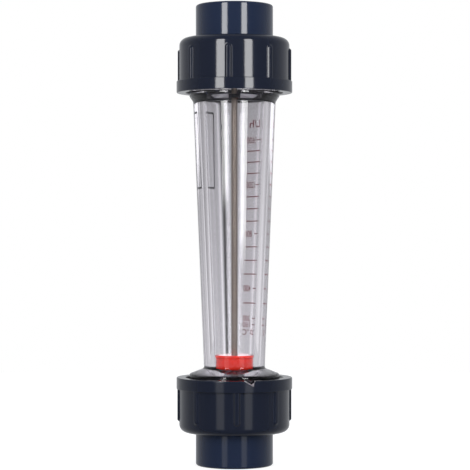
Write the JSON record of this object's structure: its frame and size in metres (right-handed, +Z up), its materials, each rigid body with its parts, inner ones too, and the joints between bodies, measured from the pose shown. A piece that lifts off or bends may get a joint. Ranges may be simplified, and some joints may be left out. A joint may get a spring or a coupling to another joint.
{
  "type": "rotameter",
  "caption": "Clear tapered-tube flow meter with a float on a guide rod, a far-side scale and a union nut and pipe socket at each end.",
  "frame": {"origin": "centre of the lower socket's end face, on the meter's axis", "axes": "+Z up along the tube, the way the liquid flows; the printed scale is on the +Y side and is read from -Y through the tube"},
  "size_m": [0.0622, 0.0622, 0.247],
  "materials": {
    "dark_pvc": "glossy moulded dark blue-grey plastic",
    "clear_plastic": "clear moulded plastic with a faint lilac tint",
    "steel": "drawn stainless steel",
    "red_plastic": "glossy red plastic",
    "rubber": "matt black rubber",
    "support_plastic": "dark moulded plastic"
  },
  "bodies": {
    "lower_end": {"lower_socket_end": "dark_pvc", "lower_o_ring": "rubber"},
    "tube": {"measuring_tube": "clear_plastic", "guide_rod": "steel", "lower_stop": "rubber", "upper_stop": "rubber", "lower_rod_support": "support_plastic", "upper_rod_support": "support_plastic", "lower_rod_washer": "steel", "upper_rod_washer": "steel", "lower_rod_nut": "steel", "upper_rod_nut": "steel"},
    "float": {"float_body": "red_plastic", "float_base": "red_plastic", "float_weight": "steel"},
    "lower_nut": {"lower_union_nut": "dark_pvc"},
    "upper_end": {"upper_socket_end": "dark_pvc", "upper_o_ring": "rubber"},
    "upper_nut": {"upper_union_nut": "dark_pvc"}
  },
  "joints": [
    {"name": "float_rise", "type": "slide", "parent": "tube", "child": "float", "axis": [0, 0, 1], "range_m": [0, 0.1439]},
    {"name": "lower_nut_turn", "type": "hinge", "parent": "lower_end", "child": "lower_nut", "pos_m": [0, 0, 0.0325], "axis": [0, 0, -1], "range_deg": [0, 1440]},
    {"name": "tube_lift", "type": "slide", "parent": "lower_end", "child": "tube", "axis": [0, 0, 1], "range_m": [0, 0.016]},
    {"name": "upper_end_lift", "type": "slide", "parent": "tube", "child": "upper_end", "axis": [0, 0, 1], "range_m": [0, 0.016]},
    {"name": "upper_nut_turn", "type": "hinge", "parent": "upper_end", "child": "upper_nut", "pos_m": [0, 0, 0.2145], "axis": [0, 0, 1], "range_deg": [0, 1440]}
  ],
  "couplings": [
    {"joint": "lower_nut_turn", "follows": "tube_lift", "rad_per_m": 1570.8},
    {"joint": "upper_nut_turn", "follows": "upper_end_lift", "rad_per_m": 1570.8}
  ]
}
